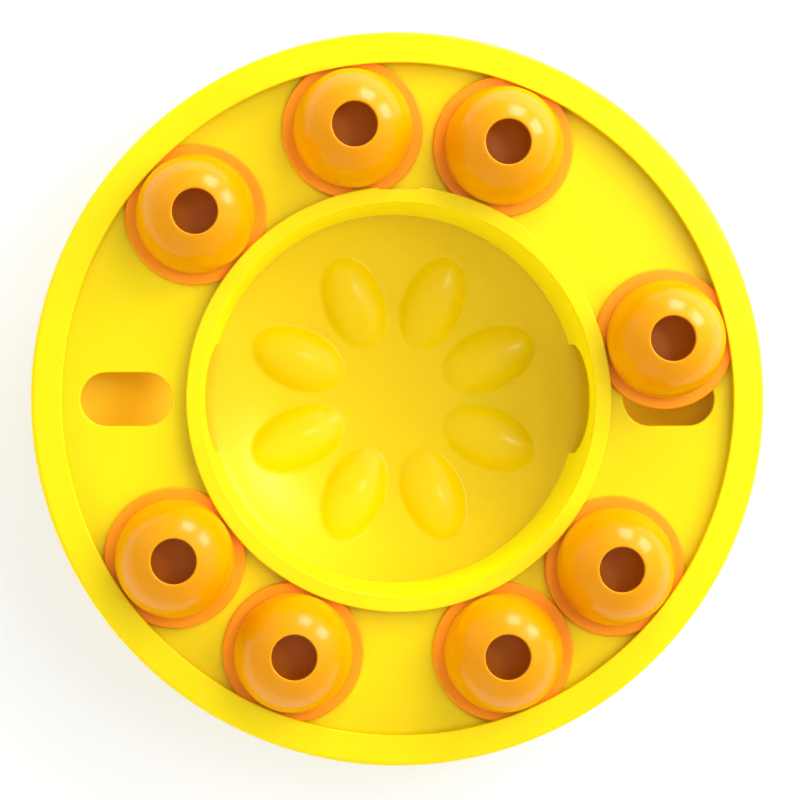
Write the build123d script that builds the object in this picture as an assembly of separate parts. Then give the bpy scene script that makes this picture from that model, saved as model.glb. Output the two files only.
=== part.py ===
from build123d import *
from math import acos, asin, cos, degrees, sin, sqrt
import os

# Dog puzzle feeder: eight hollow pucks slide round a covered track and drop their kibble through two
# slots, down chutes and through arches into the slow-feeding dish in the middle.
# Millimetres, +Z up, origin on the table under the toy's centre. The slots lie along X.

# Overall heights
rim_top_z = 48.0
foot_proud = 2.0

# A cutter runs this far past the face that it cuts
cut_over = 1.0

# Pucks: a flanged slider base with a domed cap. They stand unevenly: each share is the part of the
# free track that lies between a puck and the next, and the rest lies behind the first one.
puck_pitch_radius = 93.5
first_puck_angle = 12.7
puck_gap_shares = [0.2061, 0.0201, 0.0676, 0.3913, 0.0184, 0.1258, 0.0015]
flange_radius = 24.0
flange_thickness = 2.0
flange_edge_radius = 0.7
dome_radius = 20.35
dome_wall = 2.0
treat_hole_radius = 7.65
spigot_wall = 1.5
spigot_height = 3.2
spigot_clearance = 0.12
glide_ring_width = 3.0
glide_recess = 0.5
drop_window_width = 6.6
drop_window_margin = 0.33
drop_window_half_angle = 50.0

# Running clearances of the track
flange_side_gap = 0.5
flange_lip_gap = 0.3
flange_floor_gap = 0.2
dome_lip_gap = 0.65

# Deck
deck_thickness = 2.0
deck_collar_gap = 0.35
deck_wall_gap = 0.3
slot_inset = 0.7
slot_length = 31.3
slot_width = 18.2
slot_edge_radius = 0.6

# Rim
lip_thickness = 2.0
rim_skirt_wall = 2.4
rim_skirt_height = 14.0
rim_skirt_draft = 0.5
rim_outer_edge_radius = 1.6
lip_edge_radius = 0.5
track_wall = 1.6
snap_bead = 0.55
snap_bead_height = 5.0
snap_clearance = 0.15

# Collar
collar_skirt_wall = 2.0
collar_skirt_taper = 2.5
collar_inner_edge_radius = 0.5
collar_seat_gap = 0.1
arch_width = 38.0
arch_top_depth = 11.5
arch_corner_radius = 16.0
notch_width = 14.9
notch_depth = 1.1
notch_corner_radius = 1.0

# Dish and its bumps
floor_top_z = 12.0
dish_wall = 2.4
dish_rim_margin = 2.1
dish_rim_gap = 0.2
dish_ledge_width = 3.6
dish_ledge_thickness = 2.4
dish_knee_radius = 35.0
dish_centre_arc_radius = 500.0
dish_side_arc_radius = 110.0
bump_count = 8
bump_centre_radius = 36.2
bump_outer_length = 17.8
bump_inner_length = 17.0
bump_half_width = 10.9
bump_height = 7.6
bump_sink = 2.6
bump_fillet = 2.4

# Base shell
base_joint_inset = 1.0
base_side_taper = 7.5
base_bulge = 2.2
base_wall = 2.4
base_joint_step = 1.7
base_top_gap = 0.3
base_foot_edge_radius = 0.8
locating_rib_height = 3.0
locating_rib_wall = 1.8
locating_rib_gap = 0.4
deck_rib_count = 18
deck_rib_thickness = 2.0
deck_rib_depth = 3.6
floor_rib_count = 12
floor_rib_thickness = 2.0
floor_rib_clearance = 1.0

# Chutes under the slots, as wide inside as the arches
chute_wall = 2.0
chute_floor = 2.4
chute_end_room = 1.55
chute_end_drop = 7.5
chute_front_height = 0.6
chute_corner_radius = 3.0
chute_deck_gap = 0.2
chute_foot_length = 5.0
chute_foot_width = 10.0
chute_foot_thickness = 2.0
peg_radius = 1.5
peg_height = 3.0
peg_clearance = 0.15

# Screws, from below, on the same spokes as the feet
screw_count = 6
screw_spoke_angle = 30.0
screw_inset = 12.65
screw_tower_radius = 5.0
screw_tower_height = 12.0
screw_seat_height = 4.0
screw_head_radius = 2.9
screw_head_height = 2.0
screw_shank_radius = 1.5
screw_length = 15.0
screw_hole_clearance = 0.3
screw_thread_clearance = 0.05
screw_tip_room = 1.0
screw_recess_width = 0.8
screw_recess_length = 3.2
screw_recess_depth = 1.2
counterbore_clearance = 0.6
boss_radius = 4.2

# Rubber feet
foot_inset = 12.0
foot_radius = 8.0
foot_recess = 1.2
foot_side_gap = 0.15
foot_edge_radius = 0.6
foot_boss_wall = 1.6

# Levels that follow from the sizes above
lip_under_z = rim_top_z - lip_thickness
flange_top_z = lip_under_z - flange_lip_gap
flange_under_z = flange_top_z - flange_thickness
deck_top_z = flange_under_z - flange_floor_gap
deck_under_z = deck_top_z - deck_thickness
base_under_z = foot_proud
floor_under_z = floor_top_z - dish_wall
rim_skirt_bottom_z = rim_top_z - rim_skirt_height
snap_bead_z = rim_skirt_bottom_z + snap_bead_height
arch_top_z = rim_top_z - arch_top_depth
screw_tower_top_z = floor_top_z + screw_tower_height
screw_head_z = floor_top_z + screw_seat_height

# Radii of the track and of what lies outside it
track_outer_radius = puck_pitch_radius + flange_radius + flange_side_gap
rim_lip_radius = puck_pitch_radius + dome_radius + dome_lip_gap
deck_outer_radius = track_outer_radius + track_wall
base_upper_inner_radius = deck_outer_radius + deck_wall_gap
base_upper_outer_radius = base_upper_inner_radius + base_wall
rim_skirt_inner_radius = base_upper_outer_radius + deck_wall_gap
toy_radius = rim_skirt_inner_radius + rim_skirt_wall
base_joint_radius = toy_radius - base_joint_inset
base_foot_radius = base_joint_radius - base_side_taper
foot_circle_radius = base_foot_radius - foot_inset

# Radii of the collar, the dish and what lies inside the track
track_inner_radius = puck_pitch_radius - flange_radius - flange_side_gap
collar_lip_radius = puck_pitch_radius - dome_radius - dome_lip_gap
bowl_mouth_radius = track_inner_radius - collar_skirt_wall
bowl_floor_radius = bowl_mouth_radius - collar_skirt_taper
collar_foot_outer_radius = bowl_floor_radius + collar_skirt_wall
locating_rib_inner_radius = collar_foot_outer_radius + locating_rib_gap
locating_rib_outer_radius = locating_rib_inner_radius + locating_rib_wall
dish_rim_radius = locating_rib_outer_radius + dish_rim_margin
dish_ledge_radius = dish_rim_radius - dish_ledge_width
base_floor_inner_radius = dish_rim_radius + dish_rim_gap
deck_inner_radius = track_inner_radius + deck_collar_gap
screw_circle_radius = deck_inner_radius + screw_inset

# The slots, with their chutes, and the pucks' spigots
slot_centre_radius = puck_pitch_radius - slot_inset
chute_end_radius = slot_centre_radius + slot_length / 2 + chute_end_room
chute_end_z = deck_under_z - chute_end_drop
peg_circle_radius = chute_end_radius + chute_wall + chute_foot_length / 2
spigot_outer_radius = dome_radius - dome_wall - spigot_clearance
spigot_inner_radius = spigot_outer_radius - spigot_wall
drop_window_middle_radius = spigot_inner_radius - drop_window_margin - drop_window_width / 2

# The pucks' places round the track
touch_angle = 2 * degrees(asin(flange_radius / puck_pitch_radius))
free_angle = 360 - (len(puck_gap_shares) + 1) * touch_angle
puck_angles = [first_puck_angle]
for gap_share in puck_gap_shares:
    puck_angles.append(puck_angles[-1] + touch_angle + gap_share * free_angle)

# The dish's section: a nearly flat middle arc and a steeper side arc that meet at the knee
knee_angle = asin(dish_knee_radius / dish_centre_arc_radius)
dish_edge_angle = asin(sin(knee_angle) + (bowl_floor_radius - dish_knee_radius) / dish_side_arc_radius)
dish_side_rise = dish_side_arc_radius * (cos(knee_angle) - cos(dish_edge_angle))
dish_knee_z = floor_top_z - dish_side_rise
dish_centre_z = dish_knee_z - dish_centre_arc_radius * (1 - cos(knee_angle))
dish_side_centre = (
    dish_knee_radius - dish_side_arc_radius * sin(knee_angle),
    dish_knee_z + dish_side_arc_radius * cos(knee_angle),
)


def round_corners(section, corners, radius):
    """Round the corners of a flat section that lie at the given points."""
    for corner in corners:
        nearest = section.vertices().sort_by_distance((corner[0], corner[1], 0))[0]
        section = fillet(nearest, radius)
    return section


def turned(section):
    """Revolve a section drawn as (radius, height) about the toy's axis."""
    return revolve(Plane.XZ * section, Axis.Z)


def ring(inner_radius, outer_radius, low_z, high_z):
    """A plain ring about the toy's axis."""
    section = make_face(
        Polyline(
            (inner_radius, low_z),
            (outer_radius, low_z),
            (outer_radius, high_z),
            (inner_radius, high_z),
            close=True,
        )
    )
    return turned(section)


def disc(radius, low_z, high_z):
    """A plain upright cylinder between two heights."""
    height = high_z - low_z
    return Pos(0, 0, low_z) * Cylinder(radius, height, align=(Align.CENTER, Align.CENTER, Align.MIN))


def block(inner_radius, outer_radius, width, low_z, high_z):
    """A plain block along +X, between two radii and two heights."""
    return Pos(inner_radius, 0, low_z) * Box(
        outer_radius - inner_radius,
        width,
        high_z - low_z,
        align=(Align.MIN, Align.CENTER, Align.MIN),
    )


def spoke(radius, angle):
    """A location on a circle about the toy's axis, turned to face outwards."""
    return Rot(0, 0, angle) * Pos(radius, 0, 0)


def screw_spokes(radius):
    """The six places of the screws, or of the feet beyond them."""
    return [spoke(radius, screw_spoke_angle + k * 360 / screw_count) for k in range(screw_count)]


def slot_sides(shape):
    """A shape made along +X, and its copy for the slot on the other side."""
    return [shape, Rot(0, 0, 180) * shape]


def dish_arc(arc_radius, centre, from_angle, to_angle, offset=0):
    """An arc of the dish, or of its underside, from one slope to a steeper one."""
    reach = arc_radius + offset
    points = []
    for angle in (from_angle, (from_angle + to_angle) / 2, to_angle):
        points.append((centre[0] + reach * sin(angle), centre[1] - reach * cos(angle)))
    return ThreePointArc(*points)


def dish_curve(offset=0):
    """The dish from its centre to its edge: a nearly flat middle, then a steeper side."""
    middle_centre = (0, dish_centre_z + dish_centre_arc_radius)
    middle = dish_arc(dish_centre_arc_radius, middle_centre, 0, knee_angle, offset)
    side = dish_arc(dish_side_arc_radius, dish_side_centre, knee_angle, dish_edge_angle, offset)
    return middle, side


def dish_height(radius):
    """Height of the dish's surface at any radius."""
    if radius < dish_knee_radius:
        return dish_centre_z + dish_centre_arc_radius - sqrt(dish_centre_arc_radius**2 - radius**2)
    from_centre = radius - dish_side_centre[0]
    return dish_side_centre[1] - sqrt(dish_side_arc_radius**2 - from_centre**2)


def wall_curve(inset, low_z, high_z):
    """The base's bulged side between two heights, moved inwards by inset."""
    height = rim_skirt_bottom_z - base_under_z

    def side_radius(z):
        share = (z - base_under_z) / height
        straight = base_foot_radius + (base_joint_radius - base_foot_radius) * share
        return straight + 4 * base_bulge * share * (1 - share) - inset

    levels = (low_z, (low_z + high_z) / 2, high_z)
    return ThreePointArc(*[(side_radius(z), z) for z in levels])


def dish_shell():
    """The dish, its flat rim and the rib that centres the collar, as one turned shell."""
    rib_top_z = floor_top_z + locating_rib_height
    top_middle, top_side = dish_curve()
    under_middle, under_side = dish_curve(dish_wall)
    outline = [
        top_middle,
        top_side,
        Polyline(
            top_side @ 1,
            (locating_rib_inner_radius, floor_top_z),
            (locating_rib_inner_radius, rib_top_z),
            (locating_rib_outer_radius, rib_top_z),
            (locating_rib_outer_radius, floor_top_z),
            (dish_rim_radius, floor_top_z),
            (dish_rim_radius, floor_under_z),
            (bowl_floor_radius + dish_wall, floor_under_z),
            under_side @ 1,
        ),
        under_side,
        under_middle,
        Line(under_middle @ 0, top_middle @ 0),
    ]
    return turned(make_face(outline))


def egg(inset=0):
    """A solid egg along +X, blunt end outwards, with its widest place at the origin."""
    width = bump_half_width - inset
    outer = EllipticalCenterArc((0, 0), bump_outer_length - inset, width, 0, arc_size=90)
    inner = EllipticalCenterArc((0, 0), bump_inner_length - inset, width, 90, arc_size=90)
    section = make_face([outer, inner, Line(inner @ 1, outer @ 0)])
    body = revolve(section, Axis.X)
    return scale(body, by=(1, 1, (bump_height + bump_sink - inset) / width))


def bump_places():
    """The places of the bumps, each tilted to lie along the dish's slope."""
    slope = degrees(asin((bump_centre_radius - dish_side_centre[0]) / dish_side_arc_radius))
    seat = Pos(bump_centre_radius, 0, dish_height(bump_centre_radius)) * Rot(0, -slope, 0)
    seat = seat * Pos(0, 0, -bump_sink)
    half_step = 180 / bump_count
    return [Rot(0, 0, half_step + k * 360 / bump_count) * seat for k in range(bump_count)]


def dish_bumps(shell):
    """Raise the egg bumps from the dish, blend them in and core them out from below."""
    middle, side = dish_curve(dish_wall / 2)
    upper_edge = Polyline(side @ 1, (bowl_floor_radius, rim_top_z), (0, rim_top_z), middle @ 0)
    above_dish = turned(make_face([middle, side, upper_edge]))
    places = bump_places()
    for place in places:
        shell += place * egg() & above_dish
    seams = [edge for edge in shell.edges() if is_bump_seam(edge)]
    shell = fillet(seams, bump_fillet)
    for place in places:
        shell -= place * egg(dish_wall)
    return shell


def is_bump_seam(edge):
    """True for the edges where a bump meets the dish's upper face."""
    middle = edge @ 0.5
    radius = sqrt(middle.X**2 + middle.Y**2)
    reach = max(bump_outer_length, bump_inner_length)
    in_reach = abs(radius - bump_centre_radius) < reach
    on_top = abs(middle.Z - dish_height(radius)) < dish_wall / 4
    return in_reach and on_top and edge.geom_type != GeomType.CIRCLE


def feeder_dish():
    """The drop-in dish, whose rib leaves both arches of the collar free."""
    dish = dish_bumps(dish_shell())
    gap = block(bowl_floor_radius / 2, toy_radius, arch_width, floor_top_z, rim_top_z)
    for side in slot_sides(gap):
        dish -= side
    return dish


def base_outline():
    """The base's turned shell: a flat floor with a ledge for the dish, and the bulged wall."""
    joint_z = rim_skirt_bottom_z
    top_z = lip_under_z - base_top_gap
    ledge_z = floor_under_z - dish_ledge_thickness
    outer_side = wall_curve(0, base_under_z, joint_z - base_top_gap)
    upper_inside = wall_curve(base_wall, floor_top_z, joint_z - base_joint_step)
    lower_inside = wall_curve(base_wall, base_under_z, floor_under_z)
    outline = [
        Line((base_floor_inner_radius, floor_top_z), upper_inside @ 0),
        upper_inside,
        Polyline(
            upper_inside @ 1,
            (base_upper_inner_radius, joint_z),
            (base_upper_inner_radius, top_z),
            (base_upper_outer_radius, top_z),
            (base_upper_outer_radius, joint_z - base_top_gap),
            outer_side @ 1,
        ),
        outer_side,
        Line(outer_side @ 0, lower_inside @ 0),
        lower_inside,
        Polyline(
            lower_inside @ 1,
            (base_floor_inner_radius + dish_wall, floor_under_z),
            (base_floor_inner_radius + dish_wall, ledge_z),
            (dish_ledge_radius, ledge_z),
            (dish_ledge_radius, floor_under_z),
            (base_floor_inner_radius, floor_under_z),
            (base_floor_inner_radius, floor_top_z),
        ),
    ]
    section = make_face(outline)
    section = round_corners(section, [(base_foot_radius, base_under_z)], base_foot_edge_radius)
    return turned(section)


def snap_ring():
    """The bead round the base's wall that the rim snaps over."""
    low_z = snap_bead_z - 2 * snap_bead
    high_z = snap_bead_z + 2 * snap_bead
    return turned(
        make_face(
            Polyline(
                (base_upper_outer_radius - snap_bead, low_z),
                (base_upper_outer_radius, low_z),
                (base_upper_outer_radius + snap_bead, snap_bead_z),
                (base_upper_outer_radius, high_z),
                (base_upper_outer_radius - snap_bead, high_z),
                close=True,
            )
        )
    )


def base_shell():
    """The base: shell, ribs, screw towers, pegs for the chutes and recesses for the feet."""
    body = base_outline()

    # Ribs under the floor, and bosses that hold the feet
    rib_low_z = base_under_z + floor_rib_clearance
    rib_end_radius = base_foot_radius - base_wall / 2
    floor_middle_z = floor_under_z + dish_wall / 2
    rib = block(base_floor_inner_radius, rib_end_radius, floor_rib_thickness, rib_low_z, floor_middle_z)
    half_step = 180 / floor_rib_count
    for k in range(floor_rib_count):
        body += Rot(0, 0, half_step + k * 360 / floor_rib_count) * rib
    boss_room = foot_radius + foot_side_gap
    for place in screw_spokes(foot_circle_radius):
        body += place * disc(boss_room + foot_boss_wall, base_under_z, floor_middle_z)
        body -= place * disc(boss_room, base_under_z, base_under_z + foot_recess)

    # Upright ribs inside the wall, whose tops carry the deck's edge
    rib_foot_radius = deck_outer_radius - deck_rib_depth
    rib_back_radius = deck_outer_radius + base_wall / 2
    deck_rib = block(rib_foot_radius, rib_back_radius, deck_rib_thickness, floor_top_z, deck_under_z)
    half_step = 180 / deck_rib_count
    for k in range(deck_rib_count):
        body += Rot(0, 0, half_step + k * 360 / deck_rib_count) * deck_rib

    # Screw towers, hollow from below
    head_room = screw_head_radius + counterbore_clearance
    shank_room = screw_shank_radius + screw_hole_clearance
    for place in screw_spokes(screw_circle_radius):
        body += place * disc(screw_tower_radius, floor_under_z, screw_tower_top_z)
        body -= place * disc(head_room, base_under_z, screw_head_z)
        body -= place * disc(shank_room, screw_head_z, screw_tower_top_z)

    # Pegs that hold the chutes' feet
    for angle in (0, 180):
        body += spoke(peg_circle_radius, angle) * disc(peg_radius, floor_under_z, floor_top_z + peg_height)
    return body + snap_ring()


def chute_side(front_z, back_z, low_z, high_z):
    """The side view of a space in the chute, between a sloping line and a level one."""
    return make_face(
        Polyline(
            (deck_inner_radius / 2, low_z),
            (deck_inner_radius, low_z),
            (deck_inner_radius, front_z),
            (chute_end_radius, back_z),
            (chute_end_radius, high_z),
            (deck_inner_radius / 2, high_z),
            close=True,
        )
    )


def drop_chute():
    """A chute along +X: a sloping floor between two walls that stand on the base's floor."""
    half_width = arch_width / 2
    front_z = floor_top_z + chute_front_height
    wall_top_z = deck_under_z - chute_deck_gap
    slope = (chute_end_z - front_z) / (chute_end_radius - deck_inner_radius)
    floor_drop = chute_floor * sqrt(1 + slope**2)
    outer_radius = chute_end_radius + chute_wall
    chute = block(bowl_floor_radius / 2, outer_radius, arch_width + 2 * chute_wall, floor_top_z, wall_top_z)
    chute = fillet(chute.edges().filter_by(Axis.Z).group_by(Axis.X)[-1], chute_corner_radius)
    space = extrude(
        Plane.XZ * chute_side(front_z, chute_end_z, floor_top_z, rim_top_z), half_width, both=True
    )
    space = fillet(space.edges().filter_by(Axis.Z).group_by(Axis.X)[-1], chute_corner_radius - chute_wall)
    core_front_radius = deck_inner_radius + (floor_drop - chute_front_height) / slope
    core_side = make_face(
        Polyline(
            (core_front_radius, floor_top_z),
            (chute_end_radius, chute_end_z - floor_drop),
            (chute_end_radius, floor_top_z),
            close=True,
        )
    )
    chute -= space
    chute -= extrude(Plane.XZ * core_side, half_width, both=True)
    chute -= disc(deck_inner_radius, floor_top_z, rim_top_z)

    # Foot at the outer end, with a hole for the base's peg
    foot_top_z = floor_top_z + chute_foot_thickness
    foot_end_radius = outer_radius + chute_foot_length
    chute += block(outer_radius - chute_wall / 2, foot_end_radius, chute_foot_width, floor_top_z, foot_top_z)
    return chute - Pos(peg_circle_radius, 0, 0) * disc(peg_radius + peg_clearance, floor_top_z, foot_top_z)


def track_deck():
    """The annular track floor with its two drop slots and six screw bosses."""
    deck = ring(deck_inner_radius, deck_outer_radius, deck_under_z, deck_top_z)
    slot = Pos(slot_centre_radius, 0, deck_under_z) * extrude(
        SlotOverall(slot_length, slot_width), deck_thickness
    )
    for side in slot_sides(slot):
        deck -= side
    top_edges = deck.edges().group_by(Axis.Z)[-1]
    deck = fillet([edge for edge in top_edges if not is_track_edge(edge)], slot_edge_radius)
    boss_low_z = screw_tower_top_z
    pilot_radius = screw_shank_radius + screw_thread_clearance
    pilot_top_z = screw_head_z + screw_length + screw_tip_room
    for place in screw_spokes(screw_circle_radius):
        deck += place * disc(boss_radius, boss_low_z, deck_under_z + deck_thickness / 2)
        deck -= place * disc(pilot_radius, boss_low_z, pilot_top_z)
    return deck


def is_track_edge(edge):
    """True for the round edges of the whole deck, False for those of its slots."""
    return edge.geom_type == GeomType.CIRCLE and edge.radius > slot_length


def outer_rim():
    """The snap-on rim: a flat ring with an inward lip, a track wall and an outer skirt."""
    groove_low_z = snap_bead_z - 2 * snap_bead - snap_clearance
    groove_high_z = snap_bead_z + 2 * snap_bead + snap_clearance
    outer_top = (toy_radius, rim_top_z)
    lip_top = (rim_lip_radius, rim_top_z)
    lip_bottom = (rim_lip_radius, lip_under_z)
    section = make_face(
        Polyline(
            lip_bottom,
            (track_outer_radius, lip_under_z),
            (track_outer_radius, deck_top_z),
            (deck_outer_radius, deck_top_z),
            (deck_outer_radius, lip_under_z),
            (rim_skirt_inner_radius, lip_under_z),
            (rim_skirt_inner_radius, groove_high_z),
            (rim_skirt_inner_radius + snap_bead, snap_bead_z + snap_clearance),
            (rim_skirt_inner_radius + snap_bead, snap_bead_z - snap_clearance),
            (rim_skirt_inner_radius, groove_low_z),
            (rim_skirt_inner_radius, rim_skirt_bottom_z),
            (toy_radius - rim_skirt_draft, rim_skirt_bottom_z),
            (toy_radius, rim_top_z - 2 * rim_outer_edge_radius),
            outer_top,
            lip_top,
            close=True,
        )
    )
    section = round_corners(section, [outer_top], rim_outer_edge_radius)
    section = round_corners(section, [lip_top, lip_bottom], lip_edge_radius)
    return turned(section)


def bowl_collar():
    """The lift-out collar: a lip over the pucks, a tapered skirt, two arches and a finger notch."""
    skirt_bottom_z = floor_top_z + collar_seat_gap
    mouth = (bowl_mouth_radius, rim_top_z)
    lip_top = (collar_lip_radius, rim_top_z)
    lip_bottom = (collar_lip_radius, lip_under_z)
    section = make_face(
        Polyline(
            mouth,
            (bowl_floor_radius, skirt_bottom_z),
            (collar_foot_outer_radius, skirt_bottom_z),
            (track_inner_radius, lip_under_z),
            lip_bottom,
            lip_top,
            close=True,
        )
    )
    section = round_corners(section, [mouth], collar_inner_edge_radius)
    section = round_corners(section, [lip_top, lip_bottom], lip_edge_radius)
    collar = turned(section)
    for arch in slot_sides(arch_cutter(skirt_bottom_z)):
        collar -= arch
    return collar - finger_notch()


def arch_cutter(skirt_bottom_z):
    """A round-topped window that stays open at the skirt's lower edge, cut along +X."""
    half_width = arch_width / 2
    face = make_face(
        Polyline(
            (-half_width, skirt_bottom_z - cut_over),
            (half_width, skirt_bottom_z - cut_over),
            (half_width, arch_top_z),
            (-half_width, arch_top_z),
            close=True,
        )
    )
    face = round_corners(face, [(half_width, arch_top_z), (-half_width, arch_top_z)], arch_corner_radius)
    return Pos(bowl_floor_radius / 2, 0, 0) * extrude(Plane.YZ * face, collar_lip_radius)


def finger_notch():
    """The shallow fingernail notch in the lip's outer edge, at +Y."""
    inner_y = collar_lip_radius - notch_depth
    face = Pos(0, inner_y + notch_width / 2, 0) * Rectangle(notch_width, notch_width)
    face = round_corners(
        face, [(notch_width / 2, inner_y), (-notch_width / 2, inner_y)], notch_corner_radius
    )
    return Pos(0, 0, lip_under_z - cut_over) * extrude(face, lip_thickness + 2 * cut_over)


def slider_base():
    """A flanged disc with a snap spigot, a glide ring underneath and one off-centre drop window."""
    flange = fillet(disc(flange_radius, flange_under_z, flange_top_z).edges(), flange_edge_radius)
    recess_radius = flange_radius - flange_edge_radius - glide_ring_width
    flange -= disc(recess_radius, flange_under_z, flange_under_z + glide_recess)
    spigot = ring(spigot_inner_radius, spigot_outer_radius, flange_top_z, flange_top_z + spigot_height)
    return flange + spigot - drop_window()


def drop_window():
    """A kidney-shaped opening that faces the middle of the toy."""
    path = CenterArc(
        (0, 0), drop_window_middle_radius, 180 - drop_window_half_angle, 2 * drop_window_half_angle
    )
    face = SlotArc(path, drop_window_width)
    return Pos(0, 0, flange_under_z) * extrude(face, flange_thickness)


def treat_dome():
    """A hollow dome with a round-edged treat hole on top and a short straight foot."""
    inner_radius = dome_radius - dome_wall
    middle_radius = dome_radius - dome_wall / 2
    hole_angle = acos(treat_hole_radius / middle_radius) + asin(dome_wall / 2 / middle_radius)

    def on_dome(radius, angle):
        return (radius * cos(angle), rim_top_z + radius * sin(angle))

    outer = ThreePointArc(
        on_dome(dome_radius, 0), on_dome(dome_radius, hole_angle / 2), on_dome(dome_radius, hole_angle)
    )
    inner = ThreePointArc(
        on_dome(inner_radius, hole_angle), on_dome(inner_radius, hole_angle / 2), on_dome(inner_radius, 0)
    )
    lip_angle = hole_angle + asin(dome_wall / 2 / middle_radius)
    lip = ThreePointArc(outer @ 1, on_dome(middle_radius, lip_angle), inner @ 0)
    section = make_face(
        [
            outer,
            lip,
            inner,
            Polyline(
                inner @ 1,
                (inner_radius, flange_top_z),
                (dome_radius, flange_top_z),
                outer @ 0,
            ),
        ]
    )
    return turned(section)


def rubber_foot():
    """A round rubber foot with a softened lower edge."""
    foot = disc(foot_radius, 0, foot_proud + foot_recess)
    return fillet(foot.edges().group_by(Axis.Z)[0], foot_edge_radius)


def deck_screws():
    """Six cross-head screws that hold the deck's bosses down on the base's towers."""
    head_low_z = screw_head_z - screw_head_height
    head = disc(screw_head_radius, head_low_z, screw_head_z)
    head = fillet(head.edges().group_by(Axis.Z)[0], screw_head_height / 2)
    shank = disc(screw_shank_radius, screw_head_z, screw_head_z + screw_length)
    shank = chamfer(shank.edges().group_by(Axis.Z)[-1], screw_shank_radius / 2)
    recess = Pos(0, 0, head_low_z) * Box(
        screw_recess_length,
        screw_recess_width,
        screw_recess_depth,
        align=(Align.CENTER, Align.CENTER, Align.MIN),
    )
    screw = head + shank - recess - Rot(0, 0, 90) * recess
    return Compound([place * screw for place in screw_spokes(screw_circle_radius)])


def write(name, shape):
    export_step(shape, f"parts/{name}.step")


os.makedirs("parts", exist_ok=True)
write("base_shell", base_shell())
write("feeder_dish", feeder_dish())
for number, chute in enumerate(slot_sides(drop_chute()), start=1):
    write(f"drop_chute_{number}", chute)
write("track_deck", track_deck())
write("outer_rim", outer_rim())
write("bowl_collar", bowl_collar())
write("deck_screws", deck_screws())
base_part = slider_base()
dome_part = treat_dome()
for number, angle in enumerate(puck_angles, start=1):
    place = spoke(puck_pitch_radius, angle)
    write(f"slider_base_{number}", place * base_part)
    write(f"treat_dome_{number}", place * dome_part)
foot_part = rubber_foot()
for number, place in enumerate(screw_spokes(foot_circle_radius), start=1):
    write(f"foot_{number}", place * foot_part)
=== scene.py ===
from math import acos, asin, atan2, cos, hypot, pi, radians, sin, sqrt, tan

import bmesh
import bpy
from mathutils import Matrix, Vector


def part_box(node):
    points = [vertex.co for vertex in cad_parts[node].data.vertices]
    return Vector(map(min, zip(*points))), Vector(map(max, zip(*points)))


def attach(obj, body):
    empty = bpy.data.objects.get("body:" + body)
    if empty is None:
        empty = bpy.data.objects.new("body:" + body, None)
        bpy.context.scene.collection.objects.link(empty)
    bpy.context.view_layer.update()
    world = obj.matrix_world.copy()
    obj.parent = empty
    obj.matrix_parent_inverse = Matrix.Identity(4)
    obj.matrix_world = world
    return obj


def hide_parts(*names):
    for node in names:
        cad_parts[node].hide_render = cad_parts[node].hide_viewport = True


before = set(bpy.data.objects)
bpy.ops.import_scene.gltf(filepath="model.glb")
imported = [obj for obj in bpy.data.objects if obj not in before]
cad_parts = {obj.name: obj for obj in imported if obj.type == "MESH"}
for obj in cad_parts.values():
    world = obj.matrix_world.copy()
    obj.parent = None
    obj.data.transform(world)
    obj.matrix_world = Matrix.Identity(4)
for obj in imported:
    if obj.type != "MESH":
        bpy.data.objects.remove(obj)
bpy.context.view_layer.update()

# ---------------------------------------------------------------------------
# Base shell. One injection-moulded polypropylene tray: a flat ring floor with a ledge for the dish, a
# bulged outer wall, ribs under the floor, upright ribs that carry the deck's edge, hollow screw
# towers, and bosses that hold the rubber feet.
# ---------------------------------------------------------------------------
MM = 0.001
base_low, base_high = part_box("base_shell")
base_under_z = base_low.z / MM
base_top_z = base_high.z / MM
floor_top_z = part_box("drop_chute_1")[0].z / MM
base_joint_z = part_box("outer_rim")[0].z / MM
dish_rim_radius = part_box("feeder_dish")[1].x / MM
deck_outer_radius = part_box("track_deck")[1].x / MM
deck_top_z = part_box("track_deck")[1].z / MM
deck_thickness = 2.0
deck_under_z = deck_top_z - deck_thickness
moulded_wall = 2.4
floor_under_z = floor_top_z - moulded_wall
dish_gap = 0.2
floor_inner_radius = dish_rim_radius + dish_gap
ledge_width = 3.6
ledge_thickness = 2.4
ledge_inner_radius = dish_rim_radius - ledge_width
ledge_under_z = floor_under_z - ledge_thickness
base_foot_radius = 116.5
base_side_radius = 124.0
base_bulge = 2.2
base_foot_edge = 0.8
deck_gap = 0.3
wall_top_inner = deck_outer_radius + deck_gap
wall_top_outer = wall_top_inner + moulded_wall
joint_gap = 0.3
joint_step = 1.7
bead_height = 5.0
bead_z = base_joint_z + bead_height
bead_reach = 0.55
lathe_steps = 384
crease_degrees = 35


def linear(hex_colour):
    """An sRGB hex colour as linear RGBA."""
    channels = [int(hex_colour[i:i + 2], 16) / 255 for i in (1, 3, 5)]
    return [c / 12.92 if c <= 0.04045 else ((c + 0.055) / 1.055) ** 2.4 for c in channels] + [1.0]


def add(tree, kind, inputs=None, **settings):
    """Adds a node to a tree, with its settings, and its inputs set or linked."""
    node = tree.nodes.new(kind)
    for name, value in settings.items():
        setattr(node, name, value)
    for key, value in (inputs or {}).items():
        if isinstance(value, bpy.types.NodeSocket):
            tree.links.new(value, node.inputs[key])
        else:
            node.inputs[key].default_value = value
    return node


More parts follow.
